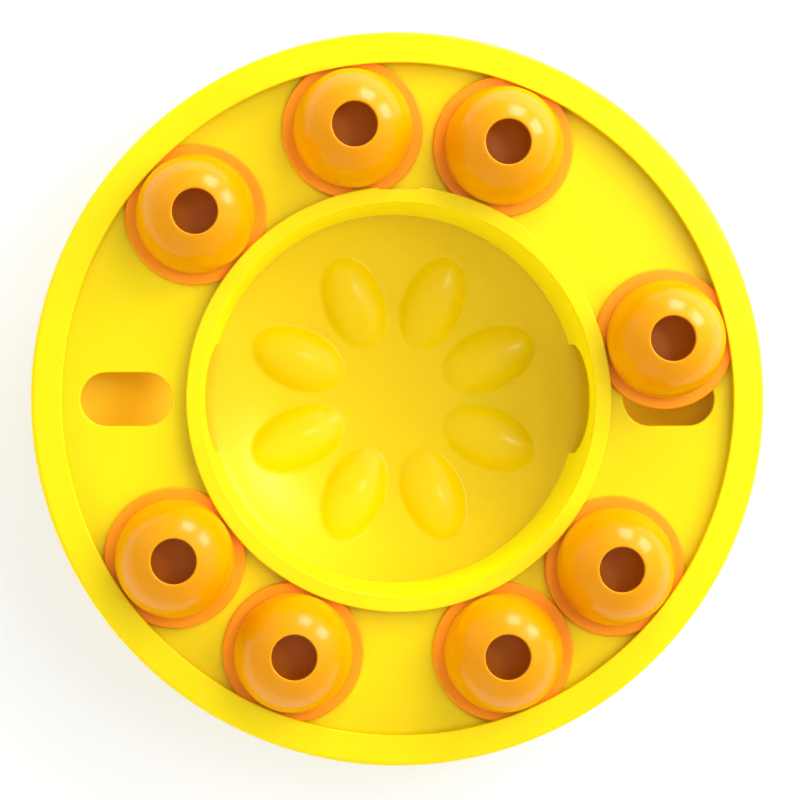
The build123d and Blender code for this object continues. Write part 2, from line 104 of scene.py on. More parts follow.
def moulded_plastic(name, colour, deep_colour, roughness, ior, glow, glow_mm, grain_mm, shine=0.35):
    """Injection-moulded plastic: faint flow clouds in its colour, handling marks and a fine tool grain."""
    flow_mm = 38.0
    handling_mm = 9.0
    # The real tool grain, about 0.1 mm, is too fine to show, so grain_mm draws it several times coarser
    grain_depth_mm = 0.02
    smoothest, roughest = roughness - 0.03, roughness + 0.05
    # Red light travels furthest inside the plastic and blue light least
    red_green_blue_reach = (1.0, 0.6, 0.1)
    material = bpy.data.materials.new(name)
    material.use_nodes = True
    tree = material.node_tree
    shader = tree.nodes["Principled BSDF"]
    place = add(tree, "ShaderNodeTexCoord").outputs["Object"]
    clouds = add(tree, "ShaderNodeTexNoise", {"Vector": place, "Scale": 1 / (flow_mm * MM), "Detail": 3.0})
    tint = add(tree, "ShaderNodeMix", {
        "Factor": clouds.outputs["Fac"], 6: linear(colour), 7: linear(deep_colour)}, data_type="RGBA")
    smears = add(tree, "ShaderNodeTexNoise", {
        "Vector": place, "Scale": 1 / (handling_mm * MM), "Detail": 4.0})
    gloss = add(tree, "ShaderNodeMapRange", {
        "Value": smears.outputs["Fac"], "To Min": smoothest, "To Max": roughest})
    grain = add(tree, "ShaderNodeTexNoise", {"Vector": place, "Scale": 1 / (grain_mm * MM), "Detail": 2.0})
    bump = add(tree, "ShaderNodeBump", {
        "Height": grain.outputs["Fac"], "Strength": 0.1, "Distance": grain_depth_mm * MM})
    tree.links.new(tint.outputs[2], shader.inputs["Base Color"])
    tree.links.new(gloss.outputs["Result"], shader.inputs["Roughness"])
    tree.links.new(bump.outputs["Normal"], shader.inputs["Normal"])
    shader.inputs["IOR"].default_value = ior
    shader.inputs["Specular IOR Level"].default_value = shine
    shader.inputs["Subsurface Weight"].default_value = glow
    shader.inputs["Subsurface Radius"].default_value = red_green_blue_reach
    shader.inputs["Subsurface Scale"].default_value = glow_mm * MM
    return material


# Satin polypropylene: a deep lemon yellow that turns golden where it lights itself
lemon_colours = ("#EFD800", "#EFD400")
satin_finish = {"roughness": 0.22, "ior": 1.49, "glow": 0.05, "glow_mm": 2.0, "grain_mm": 0.5, "shine": 0.3}
polypropylene = moulded_plastic("satin_moulded_polypropylene", *lemon_colours, **satin_finish)


def arc(centre, radius, from_angle, to_angle, steps):
    """Points along an arc, with angles counted from +radius towards +height."""
    angles = [from_angle + (to_angle - from_angle) * k / steps for k in range(steps + 1)]
    return [Vector((centre[0] + radius * cos(a), centre[1] + radius * sin(a))) for a in angles]


def finish_mesh(name, bm):
    """Turns a bmesh in millimetres into an object in metres with outward faces and soft shading."""
    bmesh.ops.remove_doubles(bm, verts=bm.verts, dist=0.0005)
    bmesh.ops.recalc_face_normals(bm, faces=bm.faces)
    bmesh.ops.scale(bm, vec=(MM, MM, MM), verts=bm.verts)
    mesh = bpy.data.meshes.new(name)
    bm.to_mesh(mesh)
    bm.free()
    mesh.shade_smooth()
    mesh.set_sharp_from_angle(angle=radians(crease_degrees))
    piece = bpy.data.objects.new(name, mesh)
    bpy.context.scene.collection.objects.link(piece)
    return piece


def lathe(name, outline, steps):
    """A solid turned about Z from a closed outline of (radius, height) points in millimetres."""
    bm = bmesh.new()
    rings = []
    for radius, height in outline:
        if radius < 1e-6:
            rings.append([bm.verts.new((0, 0, height))] * steps)
            continue
        angles = [2 * pi * k / steps for k in range(steps)]
        rings.append([bm.verts.new((radius * cos(a), radius * sin(a), height)) for a in angles])
    for i, ring in enumerate(rings):
        following = rings[(i + 1) % len(rings)]
        for k in range(steps):
            corners = [ring[k], ring[(k + 1) % steps], following[(k + 1) % steps], following[k]]
            corners = list(dict.fromkeys(corners))
            if len(corners) > 2:
                bm.faces.new(corners)
    return finish_mesh(name, bm)


def prism(name, outline, low_mm, high_mm, plane="XY"):
    """A straight block from an outline of (x, y) or, upright, of (x, z) or (y, z) points."""
    bm = bmesh.new()
    ends = []
    for level in (low_mm, high_mm):
        if plane == "XY":
            ends.append([bm.verts.new((p[0], p[1], level)) for p in outline])
        elif plane == "XZ":
            ends.append([bm.verts.new((p[0], level, p[1])) for p in outline])
        else:
            ends.append([bm.verts.new((level, p[0], p[1])) for p in outline])
    count = len(outline)
    for k in range(count):
        nxt = (k + 1) % count
        bm.faces.new([ends[0][k], ends[0][nxt], ends[1][nxt], ends[1][k]])
    bm.faces.new(ends[0])
    bm.faces.new(ends[1])
    return finish_mesh(name, bm)


def evaluated_mesh(piece):
    """Makes the piece's mesh what its modifiers give, and removes them."""
    depsgraph = bpy.context.evaluated_depsgraph_get()
    mesh = bpy.data.meshes.new_from_object(piece.evaluated_get(depsgraph))
    piece.modifiers.clear()
    old = piece.data
    piece.data = mesh
    bpy.data.meshes.remove(old)
    return piece


def apply_tree(piece, tree, values):
    """Runs a geometry tree on the piece, with its inputs set by name, and keeps the plain mesh."""
    modifier = piece.modifiers.new(tree.name, "NODES")
    modifier.node_group = tree
    for item in tree.interface.items_tree:
        if item.in_out == "INPUT" and item.name in values:
            modifier[item.identifier] = values[item.name]
    return evaluated_mesh(piece)


# Copies of one detail turned round the toy's axis: ribs, towers, bosses, feet, screws and pucks
ring_tree = bpy.data.node_groups.new("copies_round_the_axis", "GeometryNodeTree")
for label, direction, kind in (
        ("Geometry", "INPUT", "NodeSocketGeometry"), ("Count", "INPUT", "NodeSocketInt"),
        ("First Angle", "INPUT", "NodeSocketFloat"), ("Radius", "INPUT", "NodeSocketFloat"),
        ("Material", "INPUT", "NodeSocketMaterial"), ("Geometry", "OUTPUT", "NodeSocketGeometry")):
    ring_tree.interface.new_socket(label, in_out=direction, socket_type=kind)
given = add(ring_tree, "NodeGroupInput").outputs
step = add(ring_tree, "ShaderNodeMath", {0: 2 * pi, 1: given["Count"]}, operation="DIVIDE").outputs[0]
place_number = add(ring_tree, "GeometryNodeInputIndex").outputs[0]
turn = add(ring_tree, "ShaderNodeMath", {0: place_number, 1: step, 2: given["First Angle"]},
           operation="MULTIPLY_ADD").outputs[0]
turn = add(ring_tree, "ShaderNodeCombineXYZ", {"Z": turn}).outputs[0]
points = add(ring_tree, "GeometryNodePoints", {"Count": given["Count"]}).outputs[0]
copies = add(ring_tree, "GeometryNodeInstanceOnPoints", {
    "Points": points, "Instance": given["Geometry"], "Rotation": turn}).outputs[0]
outwards = add(ring_tree, "ShaderNodeCombineXYZ", {"X": given["Radius"]}).outputs[0]
copies = add(ring_tree, "GeometryNodeTranslateInstances", {
    "Instances": copies, "Translation": outwards, "Local Space": True}).outputs[0]
copies = add(ring_tree, "GeometryNodeRealizeInstances", {0: copies}).outputs[0]
copies = add(ring_tree, "GeometryNodeSetMaterial", {
    "Geometry": copies, "Material": given["Material"]}).outputs[0]
add(ring_tree, "NodeGroupOutput", {0: copies})


def repeated(piece, count, first_angle, radius=0.0, material=polypropylene):
    """Turns one detail, made along +X, into a ring of copies."""
    return apply_tree(piece, ring_tree, {
        "Count": count, "First Angle": radians(first_angle), "Radius": radius * MM, "Material": material})


def combine(piece, other, operation):
    """Adds another solid to the piece, or cuts it away, and removes the other."""
    modifier = piece.modifiers.new("combine", "BOOLEAN")
    modifier.operation = operation
    modifier.solver = "EXACT"
    modifier.use_self = False
    modifier.object = other
    evaluated_mesh(piece)
    bpy.data.objects.remove(other)


def soften(piece):
    """Shades a cut piece smoothly, with its flat faces kept flat."""
    piece.data.shade_smooth()
    piece.data.set_sharp_from_angle(angle=radians(crease_degrees))
    modifier = piece.modifiers.new("flat faces", "WEIGHTED_NORMAL")
    modifier.keep_sharp = True
    evaluated_mesh(piece)


def dress(piece, material, body, slot, *nodes):
    """Gives a piece its only material and says what it rides on and stands for."""
    piece.data.materials.clear()
    piece.data.materials.append(material)
    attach(piece, body)
    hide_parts(*nodes)


def side_points(inset, from_z, to_z, steps):
    """Points of the bulged outer wall between two heights, moved inwards by inset."""
    points = []
    for k in range(steps + 1):
        z = from_z + (to_z - from_z) * k / steps
        share = (z - base_under_z) / (base_joint_z - base_under_z)
        straight = base_foot_radius + (base_side_radius - base_foot_radius) * share
        points.append(Vector((straight + 4 * base_bulge * share * (1 - share) - inset, z)))
    return points


base_outline = [Vector((floor_inner_radius, floor_under_z)), Vector((floor_inner_radius, floor_top_z))]
base_outline += side_points(moulded_wall, floor_top_z, base_joint_z - joint_step, 8)
base_outline += [Vector(point) for point in (
    (wall_top_inner, base_joint_z), (wall_top_inner, base_top_z), (wall_top_outer, base_top_z),
    (wall_top_outer, bead_z + 2 * bead_reach), (wall_top_outer + bead_reach, bead_z),
    (wall_top_outer, bead_z - 2 * bead_reach), (wall_top_outer, base_joint_z - joint_gap))]
base_outline += side_points(0, base_joint_z - joint_gap, base_under_z + base_foot_edge, 16)
foot_edge_centre = (base_foot_radius - base_foot_edge, base_under_z + base_foot_edge)
base_outline += arc(foot_edge_centre, base_foot_edge, 0.0, -pi / 2, 5)
base_outline += side_points(moulded_wall, base_under_z, floor_under_z, 5)
base_outline += [Vector(point) for point in (
    (floor_inner_radius + moulded_wall, floor_under_z), (floor_inner_radius + moulded_wall, ledge_under_z),
    (ledge_inner_radius, ledge_under_z), (ledge_inner_radius, floor_under_z))]
base = lathe("base_shell", base_outline, lathe_steps)


def post(name, radius, low_z, high_z, steps=48):
    """A plain upright post about the origin."""
    return lathe(name, [(0, low_z), (radius, low_z), (radius, high_z), (0, high_z)], steps)


# The ribs end in the middle of the wall and follow its bulge
floor_middle_z = floor_under_z + moulded_wall / 2
rib_thickness = 2.0
floor_rib_count = 12
floor_rib_gap = 0.2
floor_rib_lift = 1.0
floor_rib_inner = floor_inner_radius + floor_rib_gap
floor_rib_low_z = base_under_z + floor_rib_lift
floor_rib_outline = [(floor_rib_inner, floor_middle_z), (floor_rib_inner, floor_rib_low_z)]
floor_rib_outline += side_points(moulded_wall / 2, floor_rib_low_z, floor_middle_z, 4)
floor_rib = prism("floor_rib", floor_rib_outline, -rib_thickness / 2, rib_thickness / 2, "XZ")
combine(base, repeated(floor_rib, floor_rib_count, 180 / floor_rib_count), "UNION")
deck_rib_count = 18
deck_rib_depth = 3.6
deck_rib_inner = deck_outer_radius - deck_rib_depth
wall_top_middle = wall_top_inner + moulded_wall / 2
deck_rib_outline = [(deck_rib_inner, deck_under_z), (deck_rib_inner, floor_middle_z)]
deck_rib_outline += side_points(moulded_wall / 2, floor_middle_z, base_joint_z - joint_step, 8)
deck_rib_outline += [(wall_top_middle, base_joint_z), (wall_top_middle, deck_under_z)]
deck_rib = prism("deck_rib", deck_rib_outline, -rib_thickness / 2, rib_thickness / 2, "XZ")
combine(base, repeated(deck_rib, deck_rib_count, 180 / deck_rib_count), "UNION")

# Screw towers and feet share six spokes, and each cutter reaches past the face that it opens
spoke_count = 6
spoke_angle = 30.0
overcut = 1.0
screw_circle_radius = 82.0
screw_tower_radius = 5.0
screw_seat_height = 4.0
foot_circle_radius = 104.5
foot_gap = 0.15
foot_boss_wall = 1.6
foot_low, foot_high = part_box("foot_1")
foot_radius = (foot_high.x - foot_low.x) / 2 / MM
foot_room = foot_radius + foot_gap
foot_top_z = foot_high.z / MM
tower_top_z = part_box("track_deck")[0].z / MM
screw_seat_z = floor_top_z + screw_seat_height
head_room = 3.5
shank_room = 1.8
combine(base, repeated(post("screw_tower", screw_tower_radius, floor_middle_z, tower_top_z),
                       spoke_count, spoke_angle, screw_circle_radius), "UNION")
combine(base, repeated(post("foot_boss", foot_room + foot_boss_wall, base_under_z, floor_middle_z, 64),
                       spoke_count, spoke_angle, foot_circle_radius), "UNION")
screw_bore = lathe("screw_bore", [
    (0, base_under_z), (head_room, base_under_z), (head_room, screw_seat_z), (shank_room, screw_seat_z),
    (shank_room, tower_top_z + overcut), (0, tower_top_z + overcut)], 48)
combine(base, repeated(screw_bore, spoke_count, spoke_angle, screw_circle_radius), "DIFFERENCE")
combine(base, repeated(post("foot_recess", foot_room, base_under_z - overcut, foot_top_z, 64),
                       spoke_count, spoke_angle, foot_circle_radius), "DIFFERENCE")
peg_circle_radius = 114.5
peg_radius = 1.5
peg_height = 3.0
combine(base, repeated(post("chute_peg", peg_radius, floor_middle_z, floor_top_z + peg_height, 24),
                       2, 0, peg_circle_radius), "UNION")
soften(base)
dress(base, polypropylene, "base", "yellow_shell", "base_shell")

# ---------------------------------------------------------------------------
# Feeder dish. A shallow moulded polypropylene bowl with eight egg-shaped bumps that slow the dog down.
# It drops on the base's ledge, and its rib, open at both arches, centres the collar.
# ---------------------------------------------------------------------------
# Dish polypropylene: the shells' yellow painted a touch more golden, as painted shade at the bottom of a
# bowl that lights itself
painted_shade_polypropylene = moulded_plastic(
    "painted_shade_moulded_polypropylene", "#EFD100", "#EFCD00", **satin_finish)
bowl_floor_radius = 64.5
dish_knee_radius = 35.0
dish_centre_arc = 500.0
dish_side_arc = 110.0
rib_inner_radius = 66.9
rib_outer_radius = 68.7
rib_top_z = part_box("feeder_dish")[1].z / MM
arch_half_width = 19.0


def dish_points(offset, radii):
    """Points of the dish, or of its underside, at the given radii of the upper face."""
    knee = asin(dish_knee_radius / dish_centre_arc)
    edge = asin(sin(knee) + (bowl_floor_radius - dish_knee_radius) / dish_side_arc)
    side_centre = (dish_knee_radius - dish_side_arc * sin(knee), floor_top_z + dish_side_arc * cos(edge))
    knee_z = side_centre[1] - dish_side_arc * cos(knee)
    middle_centre = (0.0, knee_z + dish_centre_arc * cos(knee))
    points = []
    for radius in radii:
        on_middle = radius < dish_knee_radius
        centre, reach = (middle_centre, dish_centre_arc) if on_middle else (side_centre, dish_side_arc)
        angle = asin((radius - centre[0]) / reach)
        length = reach + offset
        points.append(Vector((centre[0] + length * sin(angle), centre[1] - length * cos(angle))))
    return points


bump_band = (16.0, 56.8)
fine_step = 0.6
fine_count = round((bump_band[1] - bump_band[0]) / fine_step)
coarse_radii = [0.0, 4.0, 8.0, 12.0]
fine_radii = [bump_band[0] + fine_step * k for k in range(fine_count + 1)]
edge_radii = [58.5, 60.5, 62.5, bowl_floor_radius]
dish_outline = dish_points(0, coarse_radii + fine_radii + edge_radii)
dish_outline += [Vector(point) for point in (
    (rib_inner_radius, floor_top_z), (rib_inner_radius, rib_top_z), (rib_outer_radius, rib_top_z),
    (rib_outer_radius, floor_top_z), (dish_rim_radius, floor_top_z), (dish_rim_radius, floor_under_z),
    (bowl_floor_radius + moulded_wall, floor_under_z))]
dish_outline += reversed(dish_points(moulded_wall, coarse_radii + fine_radii[::2] + edge_radii))
dish = lathe("feeder_dish", dish_outline, lathe_steps)
rib_gap = prism("rib_gap", [
    (bowl_floor_radius / 2, -arch_half_width), (rib_outer_radius + 2 * overcut, -arch_half_width),
    (rib_outer_radius + 2 * overcut, arch_half_width), (bowl_floor_radius / 2, arch_half_width)],
    floor_top_z, rib_top_z + overcut)
combine(dish, repeated(rib_gap, 2, 0), "DIFFERENCE")

# Each bump is a low egg, blunt end outwards, raised on both faces of the wall by one rule
bump_count = 8
crown_power = 0.85
bump_tree = bpy.data.node_groups.new("dish_bumps", "GeometryNodeTree")
bump_sizes = {
    "Circle Radius": 36.2, "Outer Length": 17.8, "Inner Length": 17.0, "Half Width": 10.9,
    "Height": 4.8, "Sink": 0.4, "Blend": 1.0, "Wall": moulded_wall, "Dish Radius": bump_band[1],
}
bump_tree.interface.new_socket("Geometry", in_out="INPUT", socket_type="NodeSocketGeometry")
bump_tree.interface.new_socket("Geometry", in_out="OUTPUT", socket_type="NodeSocketGeometry")
bump_tree.interface.new_socket("Count", in_out="INPUT", socket_type="NodeSocketInt")
for size_name in bump_sizes:
    bump_tree.interface.new_socket(size_name, in_out="INPUT", socket_type="NodeSocketFloat")
given = add(bump_tree, "NodeGroupInput").outputs
position = add(bump_tree, "GeometryNodeInputPosition").outputs[0]
normal = add(bump_tree, "GeometryNodeInputNormal").outputs[0]
spot = add(bump_tree, "ShaderNodeSeparateXYZ", {0: position}).outputs
facing = add(bump_tree, "ShaderNodeSeparateXYZ", {0: normal}).outputs
value = {name: given[name] for name in ["Count", *bump_sizes]}
value.update({"x": spot[0], "y": spot[1], "facing": facing[2]})
for result, operation, *terms in (
        ("underside", "LESS_THAN", "facing", 0.0),
        ("inset", "MULTIPLY", "underside", "Wall"),
        ("x2", "MULTIPLY", "x", "x"),
        ("radius2", "MULTIPLY_ADD", "y", "y", "x2"),
        ("radius", "SQRT", "radius2"),
        ("bearing", "ARCTAN2", "y", "x"),
        ("step", "DIVIDE", 2 * pi, "Count"),
        ("half step", "DIVIDE", "step", 2.0),
        ("in step", "FLOORED_MODULO", "bearing", "step"),
        ("turn", "SUBTRACT", "in step", "half step"),
        ("cosine", "COSINE", "turn"),
        ("sine", "SINE", "turn"),
        ("on axis", "MULTIPLY", "radius", "cosine"),
        ("along", "SUBTRACT", "on axis", "Circle Radius"),
        ("across", "MULTIPLY", "radius", "sine"),
        ("outer end", "GREATER_THAN", "along", 0.0),
        ("longer by", "SUBTRACT", "Outer Length", "Inner Length"),
        ("length", "MULTIPLY_ADD", "outer end", "longer by", "Inner Length"),
        ("inset length", "SUBTRACT", "length", "inset"),
        ("inset width", "SUBTRACT", "Half Width", "inset"),
        ("share along", "DIVIDE", "along", "inset length"),
        ("share across", "DIVIDE", "across", "inset width"),
        ("along2", "MULTIPLY", "share along", "share along"),
        ("share", "MULTIPLY_ADD", "share across", "share across", "along2"),
        ("left", "SUBTRACT", 1.0, "share"),
        ("kept", "MAXIMUM", "left", 0.0),
        ("crown", "POWER", "kept", crown_power),
        ("whole height", "ADD", "Height", "Sink"),
        ("inset height", "SUBTRACT", "whole height", "inset"),
        ("lifted", "MULTIPLY", "crown", "inset height"),
        ("above dish", "SUBTRACT", "lifted", "Sink"),
        ("above wall", "ADD", "above dish", "inset"),
        ("blended", "SMOOTH_MAX", "above wall", 0.0, "Blend"),
        ("in dish", "LESS_THAN", "radius", "Dish Radius"),
        ("rise", "MULTIPLY", "blended", "in dish")):
    inputs = {k: value.get(term, term) for k, term in enumerate(terms)}
    value[result] = add(bump_tree, "ShaderNodeMath", inputs, operation=operation).outputs[0]
shift = add(bump_tree, "ShaderNodeCombineXYZ", {2: value["rise"]}).outputs[0]
raised = add(bump_tree, "GeometryNodeSetPosition", {
    "Geometry": given["Geometry"], "Offset": shift}).outputs[0]
raised = add(bump_tree, "GeometryNodeRealizeInstances", {0: raised}).outputs[0]
raised = add(bump_tree, "GeometryNodeSetMaterial", {
    "Geometry": raised, "Material": painted_shade_polypropylene}).outputs[0]
add(bump_tree, "NodeGroupOutput", {0: raised})
bump_sizes_m = {name: size * MM for name, size in bump_sizes.items()}
apply_tree(dish, bump_tree, {"Count": bump_count, **bump_sizes_m})
soften(dish)
dress(dish, painted_shade_polypropylene, "base", "yellow_shell", "feeder_dish")

# ---------------------------------------------------------------------------
# Drop chutes. Two open polypropylene boxes with a sloping floor, one under each slot. Each stands on
# the base's floor, and its foot's hole sits on a peg.
# ---------------------------------------------------------------------------
# Chute polypropylene: the shells' yellow painted warmer, as the painted orange shade in the depth of the
# slots
slot_shade_polypropylene = moulded_plastic(
    "satin_slot_shade_polypropylene", "#FFCC00", "#FDC600", roughness=0.5, ior=1.49,
    glow=0.15, glow_mm=2.0, grain_mm=0.5)
chute_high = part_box("drop_chute_1")[1]
chute_wall = 2.0
chute_corner = 3.0
chute_front_height = 0.6
chute_end_drop = 7.5
chute_foot_half_width = 5.0
chute_foot_thickness = 2.0
peg_gap = 0.15
chute_half_width = chute_high.y / MM
chute_top_z = chute_high.z / MM
chute_foot_end = chute_high.x / MM
chute_front_radius = 69.35
chute_end_radius = 110.0
chute_front_z = floor_top_z + chute_front_height
chute_end_z = deck_under_z - chute_end_drop
chute_outer_radius = chute_end_radius + chute_wall
slope = (chute_end_z - chute_front_z) / (chute_end_radius - chute_front_radius)
floor_drop = moulded_wall * sqrt(1 + slope ** 2)
core_front_radius = chute_front_radius + (floor_drop - chute_front_z + floor_top_z) / slope
inner_half_width = chute_half_width - chute_wall
cut_low_z = floor_top_z - overcut
cut_high_z = chute_top_z + overcut


def rounded(corners, steps=6, support=0.12):
    """Outline points from (radius, height, fillet) corners, each fillet an arc between support points."""
    points = []
    for i, (r, z, fillet) in enumerate(corners):
        here = Vector((r, z))
        if fillet == 0:
            points.append(here)
            continue
        back = (Vector(corners[i - 1][:2]) - here).normalized()
        ahead = (Vector(corners[(i + 1) % len(corners)][:2]) - here).normalized()
        half = back.angle(ahead) / 2
        reach = fillet / tan(half)
        centre = here + (back + ahead).normalized() * (fillet / sin(half))
        start = here + back * reach - centre
        turn = pi - 2 * half
        if start.cross(here + ahead * reach - centre) < 0:
            turn = -turn
        points.append(here + back * (reach + support))
        for k in range(steps + 1):
            points.append(centre + Matrix.Rotation(turn * k / steps, 2) @ start)
        points.append(here + ahead * (reach + support))
    return points


chutes = prism("drop_chutes", rounded([
    (bowl_floor_radius / 2, -chute_half_width, 0),
    (chute_outer_radius, -chute_half_width, chute_corner),
    (chute_outer_radius, chute_half_width, chute_corner),
    (bowl_floor_radius / 2, chute_half_width, 0),
]), floor_top_z, chute_top_z)
combine(chutes, prism("chute_space", [
    (bowl_floor_radius / 3, cut_low_z), (chute_front_radius, cut_low_z),
    (chute_front_radius, chute_front_z), (chute_end_radius, chute_end_z),
    (chute_end_radius, cut_high_z), (bowl_floor_radius / 3, cut_high_z)],
    -inner_half_width, inner_half_width, "XZ"), "DIFFERENCE")
combine(chutes, prism("chute_core", [
    (core_front_radius, floor_top_z), (core_front_radius, cut_low_z),
    (chute_end_radius, cut_low_z), (chute_end_radius, chute_end_z - floor_drop)],
    -inner_half_width, inner_half_width, "XZ"), "DIFFERENCE")
combine(chutes, post("collar_room", chute_front_radius, cut_low_z, cut_high_z, 192), "DIFFERENCE")
chute_foot_inner = chute_outer_radius - chute_wall / 2
combine(chutes, prism("chute_foot", [
    (chute_foot_inner, -chute_foot_half_width), (chute_foot_end, -chute_foot_half_width),
    (chute_foot_end, chute_foot_half_width), (chute_foot_inner, chute_foot_half_width)],
    floor_top_z, floor_top_z + chute_foot_thickness), "UNION")
peg_hole = post("peg_hole", peg_radius + peg_gap, cut_low_z, floor_top_z + peg_height, 32)
combine(chutes, repeated(peg_hole, 1, 0, peg_circle_radius), "DIFFERENCE")
repeated(chutes, 2, 0, material=slot_shade_polypropylene)
soften(chutes)
dress(chutes, slot_shade_polypropylene, "base", "yellow_shell", "drop_chute_1", "drop_chute_2")

# ---------------------------------------------------------------------------
# Rubber feet. Six pale moulded rubber buttons pressed in the base's bosses, with a softened lower
# edge, so that the toy doesn't slide when the dog pushes it.
# ---------------------------------------------------------------------------
# Matt thermoplastic rubber: no mirror gloss, a chalky bloom and a coarser grain than the shells
rubber = moulded_plastic(
    "matt_moulded_rubber", "#D9D8D2", "#CFCEC8", roughness=0.72, ior=1.5,
    glow=0.0, glow_mm=1.0, grain_mm=0.6)
foot_edge = 0.6
feet = lathe("rubber_feet", rounded([
    (0, 0, 0), (foot_radius, 0, foot_edge), (foot_radius, foot_top_z, 0), (0, foot_top_z, 0)]), 64)
repeated(feet, spoke_count, spoke_angle, foot_circle_radius, rubber)
foot_nodes = [f"foot_{number}" for number in range(1, spoke_count + 1)]
dress(feet, rubber, "base", "foot_rubber", *foot_nodes)

# ---------------------------------------------------------------------------
# Track deck. The flat ring that the pucks slide on, satin polypropylene, with two long slots whose
# upper edges are rounded so that kibble tips in, and six bosses that take the screws.
# ---------------------------------------------------------------------------
deck_inner_radius = 69.35
slot_centre = 92.8
slot_length = 31.3
slot_width = 18.2
slot_edge = 0.6
deck = lathe("track_deck", [
    (deck_inner_radius, deck_under_z), (deck_outer_radius, deck_under_z),
    (deck_outer_radius, deck_top_z), (deck_inner_radius, deck_top_z)], 256)


def long_slot(grow, steps=24):
    """Outline of the slot, grown by a little, round its own centre."""
    end_radius = slot_width / 2 + grow
    half_straight = (slot_length - slot_width) / 2
    right = [Vector((half_straight, 0)) + p for p in arc((0, 0), end_radius, -pi / 2, pi / 2, steps)]
    left = [Vector((-half_straight, 0)) + p for p in arc((0, 0), end_radius, pi / 2, 3 * pi / 2, steps)]
    return right + left


def slot_cutter(edge_steps=6):
    """A plug whose top flares out, so that what it leaves has a rounded edge."""
    levels = [(deck_under_z - 2 * overcut, 0.0), (deck_top_z - slot_edge, 0.0)]
    for k in range(1, edge_steps + 1):
        angle = pi / 2 * k / edge_steps
        levels.append((deck_top_z - slot_edge * (1 - sin(angle)), slot_edge * (1 - cos(angle))))
    levels.append((deck_top_z + overcut, slot_edge))
    bm = bmesh.new()
    loops = []
    for z, grow in levels:
        loops.append([bm.verts.new((slot_centre + p.x, p.y, z)) for p in long_slot(grow)])
    for below, above in zip(loops, loops[1:]):
        count = len(below)
        for k in range(count):
            nxt = (k + 1) % count
            bm.faces.new([below[k], below[nxt], above[nxt], above[k]])
    bm.faces.new(loops[0])
    bm.faces.new(loops[-1])
    return finish_mesh("slot_cutter", bm)


combine(deck, repeated(slot_cutter(), 2, 0), "DIFFERENCE")
boss_radius = 4.2
screw_shank_radius = 1.5
screw_length = 15.0
thread_gap = 0.05
tip_room = 1.0
pilot_top_z = screw_seat_z + screw_length + tip_room
boss = post("screw_boss", boss_radius, tower_top_z, deck_under_z + deck_thickness / 2)
combine(deck, repeated(boss, spoke_count, spoke_angle, screw_circle_radius), "UNION")
pilot = post("screw_pilot", screw_shank_radius + thread_gap, tower_top_z - overcut, pilot_top_z, 32)
combine(deck, repeated(pilot, spoke_count, spoke_angle, screw_circle_radius), "DIFFERENCE")
soften(deck)
dress(deck, polypropylene, "base", "yellow_shell", "track_deck")

# ---------------------------------------------------------------------------
# Deck screws. Six self-tapping steel screws, cold-headed with a cross recess, rolled thread and
# bright zinc plating. They are driven from below through the towers into the deck's bosses.
# ---------------------------------------------------------------------------
# Zinc plating: a cool grey metal with a slightly cloudy, passivated gloss
zinc = bpy.data.materials.new("zinc_plated_steel")
zinc.use_nodes = True
zinc_tree = zinc.node_tree
zinc_shader = zinc_tree.nodes["Principled BSDF"]
zinc_place = add(zinc_tree, "ShaderNodeTexCoord").outputs["Object"]
spangle_mm = 0.8
zinc_grain = add(zinc_tree, "ShaderNodeTexNoise", {"Vector": zinc_place, "Scale": 1 / (spangle_mm * MM)})
zinc_tint = add(zinc_tree, "ShaderNodeMix", {
    "Factor": zinc_grain.outputs["Fac"], 6: linear("#BFC2C5"), 7: linear("#A3A6AA")}, data_type="RGBA")
zinc_tree.links.new(zinc_tint.outputs[2], zinc_shader.inputs["Base Color"])
zinc_shader.inputs["Metallic"].default_value = 1.0
zinc_shader.inputs["Roughness"].default_value = 0.35
head_radius = 2.9
head_edge = 1.0
head_low_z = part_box("deck_screws")[0].z / MM
screw_tip_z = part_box("deck_screws")[1].z / MM
tip_radius = 0.3
tip_cone_height = 1.5
cone_foot_z = screw_tip_z - tip_cone_height
thread_depth = 0.4
thread_pitch = 1.25
core_radius = screw_shank_radius - thread_depth
screws = lathe("deck_screws", rounded([
    (0, head_low_z, 0), (head_radius, head_low_z, head_edge), (head_radius, screw_seat_z, 0),
    (core_radius, screw_seat_z, 0), (core_radius, cone_foot_z, 0), (tip_radius, screw_tip_z, 0),
    (0, screw_tip_z, 0)]), 32)
recess_half_width = 0.4
recess_half_length = 1.6
recess_depth = 1.2
for x, y in ((recess_half_width, recess_half_length), (recess_half_length, recess_half_width)):
    recess_arm = prism("recess_arm", [(-x, -y), (x, -y), (x, y), (-x, y)],
                       head_low_z - overcut, head_low_z + recess_depth)
    combine(screws, recess_arm, "DIFFERENCE")
thread_tree = bpy.data.node_groups.new("rolled_thread", "GeometryNodeTree")
for label, direction, kind in (
        ("Geometry", "INPUT", "NodeSocketGeometry"), ("Core Radius", "INPUT", "NodeSocketFloat"),
        ("Depth", "INPUT", "NodeSocketFloat"), ("Turns", "INPUT", "NodeSocketFloat"),
        ("Length", "INPUT", "NodeSocketFloat"), ("Start", "INPUT", "NodeSocketFloat"),
        ("Geometry", "OUTPUT", "NodeSocketGeometry")):
    thread_tree.interface.new_socket(label, in_out=direction, socket_type=kind)
given = add(thread_tree, "NodeGroupInput").outputs
helix = add(thread_tree, "GeometryNodeCurveSpiral", {
    "Resolution": 20, "Rotations": given["Turns"], "Start Radius": given["Core Radius"],
    "End Radius": given["Core Radius"], "Height": given["Length"]}).outputs[0]
ridge = add(thread_tree, "GeometryNodeCurvePrimitiveCircle", {
    "Resolution": 4, "Radius": given["Depth"]}).outputs[0]
thread = add(thread_tree, "GeometryNodeCurveToMesh", {
    "Curve": helix, "Profile Curve": ridge, "Fill Caps": True}).outputs[0]
upwards = add(thread_tree, "ShaderNodeCombineXYZ", {2: given["Start"]}).outputs[0]
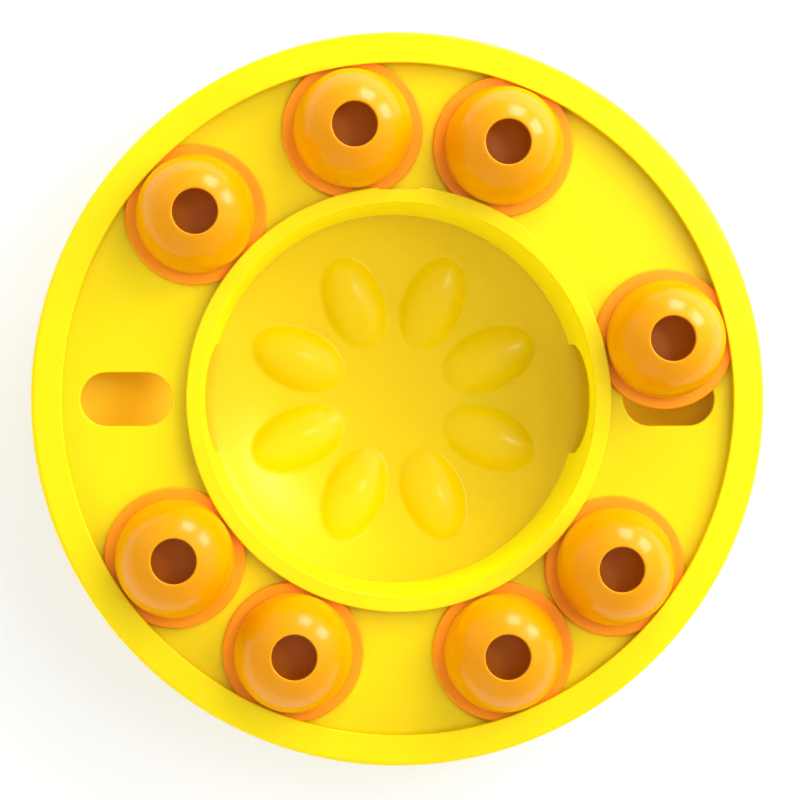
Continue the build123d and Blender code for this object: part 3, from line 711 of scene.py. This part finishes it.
thread = add(thread_tree, "GeometryNodeTransform", {"Geometry": thread, "Translation": upwards}).outputs[0]
joined = add(thread_tree, "GeometryNodeJoinGeometry")
for part in (given["Geometry"], thread):
    thread_tree.links.new(part, joined.inputs[0])
screwed = add(thread_tree, "GeometryNodeRealizeInstances", {0: joined.outputs[0]}).outputs[0]
screwed = add(thread_tree, "GeometryNodeSetMaterial", {"Geometry": screwed, "Material": zinc}).outputs[0]
add(thread_tree, "NodeGroupOutput", {0: screwed})
bare_shank = 1.0
thread_start_z = screw_seat_z + bare_shank
thread_length = cone_foot_z - thread_start_z
apply_tree(screws, thread_tree, {
    "Core Radius": core_radius * MM, "Depth": thread_depth * MM, "Turns": thread_length / thread_pitch,
    "Length": thread_length * MM, "Start": thread_start_z * MM})
repeated(screws, spoke_count, spoke_angle, screw_circle_radius, zinc)
screws.data.shade_smooth()
screws.data.set_sharp_from_angle(angle=radians(crease_degrees))
dress(screws, zinc, "base", "screw_steel", "deck_screws")

# ---------------------------------------------------------------------------
# Outer rim. A polypropylene ring snapped over the base's bead. Its lip reaches in over the pucks'
# flanges, and its edges are moulded with a soft radius.
# ---------------------------------------------------------------------------
rim_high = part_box("outer_rim")[1]
rim_top_z = rim_high.z / MM
toy_radius = rim_high.x / MM
# The side stays a hair inside the CAD's box and leans in towards its foot, as a mould's draft needs
box_margin = 0.02
rim_draft = 0.5
rim_shoulder_depth = 3.2
rim_side_radius = toy_radius - box_margin
rim_foot_radius = toy_radius - rim_draft
rim_shoulder_z = rim_top_z - rim_shoulder_depth
rim_foot_edge = 0.3
rim_top_edge = 1.6
rim_lip_radius = 114.5
lip_thickness = 2.0
lip_edge = 0.5
lip_under_z = rim_top_z - lip_thickness
track_outer_radius = 118.0
rim_gap = 0.3
rim_skirt_inner = wall_top_outer + rim_gap
groove_room = 0.15
groove_half = 2 * bead_reach + groove_room
rim = lathe("outer_rim", rounded([
    (rim_lip_radius, lip_under_z, lip_edge),
    (track_outer_radius, lip_under_z, 0),
    (track_outer_radius, deck_top_z, 0),
    (deck_outer_radius, deck_top_z, 0),
    (deck_outer_radius, lip_under_z, 0),
    (rim_skirt_inner, lip_under_z, 0),
    (rim_skirt_inner, bead_z + groove_half, 0),
    (rim_skirt_inner + bead_reach, bead_z + groove_room, 0),
    (rim_skirt_inner + bead_reach, bead_z - groove_room, 0),
    (rim_skirt_inner, bead_z - groove_half, 0),
    (rim_skirt_inner, base_joint_z, 0),
    (rim_foot_radius, base_joint_z, rim_foot_edge),
    (rim_side_radius, rim_shoulder_z, 0),
    (rim_side_radius, rim_top_z, rim_top_edge),
    (rim_lip_radius, rim_top_z, lip_edge),
]), lathe_steps)
dress(rim, polypropylene, "base", "yellow_shell", "outer_rim")

# ---------------------------------------------------------------------------
# Bowl collar. A lift-out polypropylene ring: a flat lip over the pucks, a steep skirt down to the
# dish, an arch on each side for the kibble and a fingernail notch in the lip.
# ---------------------------------------------------------------------------
# Collar polypropylene: the lip looks as the shells do, and the thin skirt below it is painted
# paler, as painted light on the bowl's steep inner wall
collar_polypropylene = moulded_plastic("collar_polypropylene_with_painted_light", *lemon_colours, **satin_finish)
lip_colour_depth = 0.3
painted_light_depth = 2.5
collar_tree = collar_polypropylene.node_tree
collar_shader = collar_tree.nodes["Principled BSDF"]
lip_tint = collar_shader.inputs["Base Color"].links[0].from_socket
collar_place = add(collar_tree, "ShaderNodeTexCoord").outputs["Object"]
collar_height = add(collar_tree, "ShaderNodeSeparateXYZ", {0: collar_place}).outputs["Z"]
painted_light_share = add(collar_tree, "ShaderNodeMapRange", {
    "Value": collar_height, "From Min": (rim_top_z - lip_colour_depth) * MM,
    "From Max": (rim_top_z - painted_light_depth) * MM})
# Painted light: from the lip down the skirt, the colour turns paler towards #FFF600
lip_and_painted_light_tint = add(collar_tree, "ShaderNodeMix", {
    "Factor": painted_light_share.outputs["Result"], 6: lip_tint, 7: linear("#FFF600")}, data_type="RGBA")
collar_tree.links.new(lip_and_painted_light_tint.outputs[2], collar_shader.inputs["Base Color"])
collar_low, collar_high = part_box("bowl_collar")
collar_bottom_z = collar_low.z / MM
collar_lip_radius = collar_high.x / MM
bowl_mouth_radius = 67.0
skirt_wall = 2.0
skirt_edge = 0.2
track_inner_radius = 69.0
arch_top_z = 36.5
arch_corner = 16.0
arch_reach = 15.0
notch_half_width = 7.45
notch_depth = 1.1
notch_corner = 1.0
collar = lathe("bowl_collar", rounded([
    (bowl_mouth_radius, rim_top_z, lip_edge),
    (bowl_floor_radius, collar_bottom_z, skirt_edge),
    (bowl_floor_radius + skirt_wall, collar_bottom_z, skirt_edge),
    (track_inner_radius, lip_under_z, 0),
    (collar_lip_radius, lip_under_z, lip_edge),
    (collar_lip_radius, rim_top_z, lip_edge),
]), lathe_steps)
arch = prism("arch_cutter", rounded([
    (-arch_half_width, collar_bottom_z - overcut, 0),
    (arch_half_width, collar_bottom_z - overcut, 0),
    (arch_half_width, arch_top_z, arch_corner),
    (-arch_half_width, arch_top_z, arch_corner),
], steps=24, support=0.0), bowl_floor_radius - arch_reach, bowl_floor_radius + arch_reach, "YZ")
notch_y = collar_lip_radius - notch_depth
notch = prism("finger_notch", rounded([
    (-notch_half_width, notch_y, notch_corner),
    (notch_half_width, notch_y, notch_corner),
    (notch_half_width, notch_y + 5 * overcut, 0),
    (-notch_half_width, notch_y + 5 * overcut, 0),
], support=0.0), lip_under_z - overcut, rim_top_z + overcut)
combine(collar, repeated(arch, 2, 0), "DIFFERENCE")
combine(collar, notch, "DIFFERENCE")
soften(collar)
dress(collar, collar_polypropylene, "collar", "yellow_shell", "bowl_collar")

# ---------------------------------------------------------------------------
# Slider bases. Flanged discs of satin orange ABS that glide on a narrow ring. A snap spigot holds the
# dome, and a kidney-shaped window lets the kibble fall when it passes over a slot.
# ---------------------------------------------------------------------------
# Satin ABS: a clean, slightly chalky orange with a soft sheen
satin_abs = moulded_plastic(
    "satin_moulded_abs", "#FD9C08", "#FB9608", roughness=0.34, ior=1.54, glow=0.05, glow_mm=2.0,
    grain_mm=0.4, shine=0.25)
puck_count = 8
slider_low, slider_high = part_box("slider_base_1")
flange_under_z = slider_low.z / MM
spigot_top_z = slider_high.z / MM
flange_radius = (slider_high.x - slider_low.x) / 2 / MM
flange_thickness = 2.0
flange_edge = 0.7
flange_top_z = flange_under_z + flange_thickness
glide_recess = 0.5
glide_inner_radius = 20.3
spigot_outer_radius = 18.23
spigot_wall = 1.5
spigot_edge = 0.3
spigot_inner_radius = spigot_outer_radius - spigot_wall
puck_steps = 128
slider = lathe("slider", rounded([
    (0, flange_under_z + glide_recess, 0),
    (glide_inner_radius, flange_under_z + glide_recess, 0),
    (glide_inner_radius, flange_under_z, 0),
    (flange_radius, flange_under_z, flange_edge),
    (flange_radius, flange_top_z, flange_edge),
    (spigot_outer_radius, flange_top_z, 0),
    (spigot_outer_radius, spigot_top_z, spigot_edge),
    (spigot_inner_radius, spigot_top_z, spigot_edge),
    (spigot_inner_radius, flange_top_z, 0),
    (0, flange_top_z, 0),
]), puck_steps)
window_radius = 13.1
window_half_width = 3.3
window_half_angle = radians(50)


def kidney(steps=24):
    """The drop window's outline, which faces the middle of the toy."""
    low_angle, high_angle = pi - window_half_angle, pi + window_half_angle
    outline = arc((0, 0), window_radius + window_half_width, low_angle, high_angle, steps)
    ends = []
    for angle, start in ((high_angle, high_angle), (low_angle, -window_half_angle)):
        centre = (window_radius * cos(angle), window_radius * sin(angle))
        ends.append(arc(centre, window_half_width, start, start + pi, steps // 2)[1:-1])
    inner = arc((0, 0), window_radius - window_half_width, high_angle, low_angle, steps)
    return outline + ends[0] + inner + ends[1]


drop_window = prism("drop_window", kidney(), flange_under_z - overcut, flange_top_z + overcut)
combine(slider, drop_window, "DIFFERENCE")
soften(slider)


def puck_piece(source, name, number, node):
    """A copy of a puck's part at that puck's place on the track, which the CAD node gives."""
    low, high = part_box(node)
    middle = (low + high) / 2
    piece = bpy.data.objects.new(f"{name}_{number}", source.data.copy())
    bpy.context.scene.collection.objects.link(piece)
    angle = atan2(middle.y, middle.x) * 180 / pi
    return repeated(piece, 1, angle, hypot(middle.x, middle.y) / MM, source.data.materials[0])


slider.data.materials.clear()
slider.data.materials.append(satin_abs)
for number in range(1, puck_count + 1):
    node = f"slider_base_{number}"
    piece = puck_piece(slider, "puck_slider", number, node)
    dress(piece, satin_abs, f"puck_{number}", "slider_orange", node)
bpy.data.objects.remove(slider)

# ---------------------------------------------------------------------------
# Treat domes. Hollow glossy ABS caps, moulded with an even wall and a slightly rounded edge at the
# treat hole, and pushed over the sliders' spigots.
# ---------------------------------------------------------------------------
# Polished ABS: warm orange that glows a little through its thin wall, under sharp window reflections
polished_abs = moulded_plastic(
    "polished_moulded_abs", "#E19800", "#E19200", roughness=0.18, ior=1.54, glow=0.3, glow_mm=3.0,
    grain_mm=0.8, shine=0.32)
dome_radius = 20.35
dome_wall = 2.0
hollow_radius = dome_radius - dome_wall
treat_hole_radius = 7.65
hole_edge = 0.45
edge_centre_radius = treat_hole_radius + hole_edge
edge_centre_rise = sqrt((dome_radius - hole_edge) ** 2 - edge_centre_radius ** 2)
edge_centre = (edge_centre_radius, rim_top_z + edge_centre_rise)
outer_angle = atan2(edge_centre[1] - rim_top_z, edge_centre_radius)
inner_angle = acos(treat_hole_radius / hollow_radius)
dome_outline = arc((0, rim_top_z), dome_radius, 0, outer_angle, 40)
dome_outline += arc(edge_centre, hole_edge, outer_angle, pi, 8)[1:]
dome_outline += arc((0, rim_top_z), hollow_radius, inner_angle, 0, 24)
dome_outline += [Vector((hollow_radius, flange_top_z)), Vector((dome_radius, flange_top_z))]
dome = lathe("dome", dome_outline, puck_steps)
dome.data.materials.append(polished_abs)
for number in range(1, puck_count + 1):
    node = f"treat_dome_{number}"
    piece = puck_piece(dome, "puck_dome", number, node)
    dress(piece, polished_abs, f"puck_{number}", "dome_orange", node)
bpy.data.objects.remove(dome)

# ---------------------------------------------------------------------------
# Studio. A white paper table under soft light: two broad soft boxes from the right, weaker ones from
# the left, the front and above, and three small square windows that show on the domes.
# ---------------------------------------------------------------------------
floor_bm = bmesh.new()
floor_half_mm = 3000.0
bmesh.ops.create_grid(floor_bm, x_segments=1, y_segments=1, size=floor_half_mm)
floor = finish_mesh("studio_floor", floor_bm)
paper = bpy.data.materials.new("matt_white_paper")
paper.use_nodes = True
paper_tree = paper.node_tree
paper_shader = paper_tree.nodes["Principled BSDF"]
paper_shader.inputs["Base Color"].default_value = linear("#F4F4F4")
paper_shader.inputs["Roughness"].default_value = 0.9
# Where the camera or a reflection sees it, the paper is lifted about halfway to white, with its shadow
lift_share = 0.55
path = add(paper_tree, "ShaderNodeLightPath").outputs
seen = add(paper_tree, "ShaderNodeMath", {
    0: path["Is Camera Ray"], 1: path["Is Glossy Ray"]}, operation="MAXIMUM").outputs[0]
seen = add(paper_tree, "ShaderNodeMath", {
    0: seen, 1: path["Is Transmission Ray"]}, operation="MAXIMUM").outputs[0]
lift = add(paper_tree, "ShaderNodeMath", {0: seen, 1: lift_share}, operation="MULTIPLY").outputs[0]
white = add(paper_tree, "ShaderNodeEmission", {"Color": linear("#FFFFFF"), "Strength": 1.0}).outputs[0]
blend = add(paper_tree, "ShaderNodeMixShader", {0: lift, 1: paper_shader.outputs[0], 2: white}).outputs[0]
paper_tree.links.new(blend, paper_tree.nodes["Material Output"].inputs["Surface"])
floor.data.materials.append(paper)

world = bpy.data.worlds.new("studio")
bpy.context.scene.world = world
world.use_nodes = True
background = world.node_tree.nodes["Background"]
background.inputs["Color"].default_value = (1.0, 1.0, 1.0, 1.0)
background.inputs["Strength"].default_value = 0.38


def soft_lamp(name, azimuth, elevation, distance, width, radiance, mirrored=True):
    """A square soft box that looks at the toy, with its brightness given as radiance."""
    lamp = bpy.data.lights.new(name, "AREA")
    lamp.shape = "SQUARE"
    lamp.size = width
    lamp.energy = radiance * pi * width * width
    holder = bpy.data.objects.new(name, lamp)
    turn, rise = radians(azimuth), radians(elevation)
    flat = distance * cos(rise)
    spot = Vector((flat * cos(turn), flat * sin(turn), distance * sin(rise)))
    aim = Vector((0, 0, rim_top_z * MM))
    holder.location = aim + spot
    holder.rotation_euler = spot.to_track_quat("Z", "Y").to_euler()
    holder.visible_camera = False
    holder.visible_glossy = mirrored
    bpy.context.scene.collection.objects.link(holder)


# Azimuth and elevation in degrees, distance and width in metres, then the radiance
soft_lamp("window_upper", 70, 18.5, 0.9, 0.32, 7.5)
soft_lamp("window_right", 33, 18.5, 0.9, 0.32, 7.5)
soft_lamp("spark", 28, 66, 1.3, 0.2, 11.0)
soft_lamp("overhead", 0, 90, 1.5, 1.5, 0.5, mirrored=False)
soft_lamp("key", 12, 33, 2.0, 2.0, 2.9, mirrored=False)
soft_lamp("low_key", 60, 20, 2.0, 2.0, 2.3, mirrored=False)
soft_lamp("left_fill", 150, 13, 1.2, 0.8, 3.0, mirrored=False)
soft_lamp("front_fill", 245, 13, 1.2, 0.8, 3.6, mirrored=False)

# The camera looks down from about a metre above the rim, slightly left of the toy's axis (mm)
focal_pixels = 3115.5
image_pixels = 800
camera_height = 1058.7
camera_x = -53.5
camera_y = 5.6
aim_x = 0.17
aim_y = -0.27
camera_data = bpy.data.cameras.new("studio_camera")
camera_data.sensor_width = 36.0
camera_data.lens = focal_pixels * camera_data.sensor_width / image_pixels
camera_data.clip_start = 0.01
camera = bpy.data.objects.new("studio_camera", camera_data)
bpy.context.scene.collection.objects.link(camera)
camera.location = Vector((camera_x, camera_y, rim_top_z + camera_height)) * MM
target = Vector((aim_x, aim_y, rim_top_z)) * MM
away = (camera.location - target).normalized()
sideways = Vector((1, 0, 0)) - away * away.x
sideways.normalize()
upright = away.cross(sideways)
camera.rotation_euler = Matrix((sideways, upright, away)).transposed().to_euler()
bpy.context.scene.camera = camera
bpy.context.scene.view_settings.view_transform = "Standard"
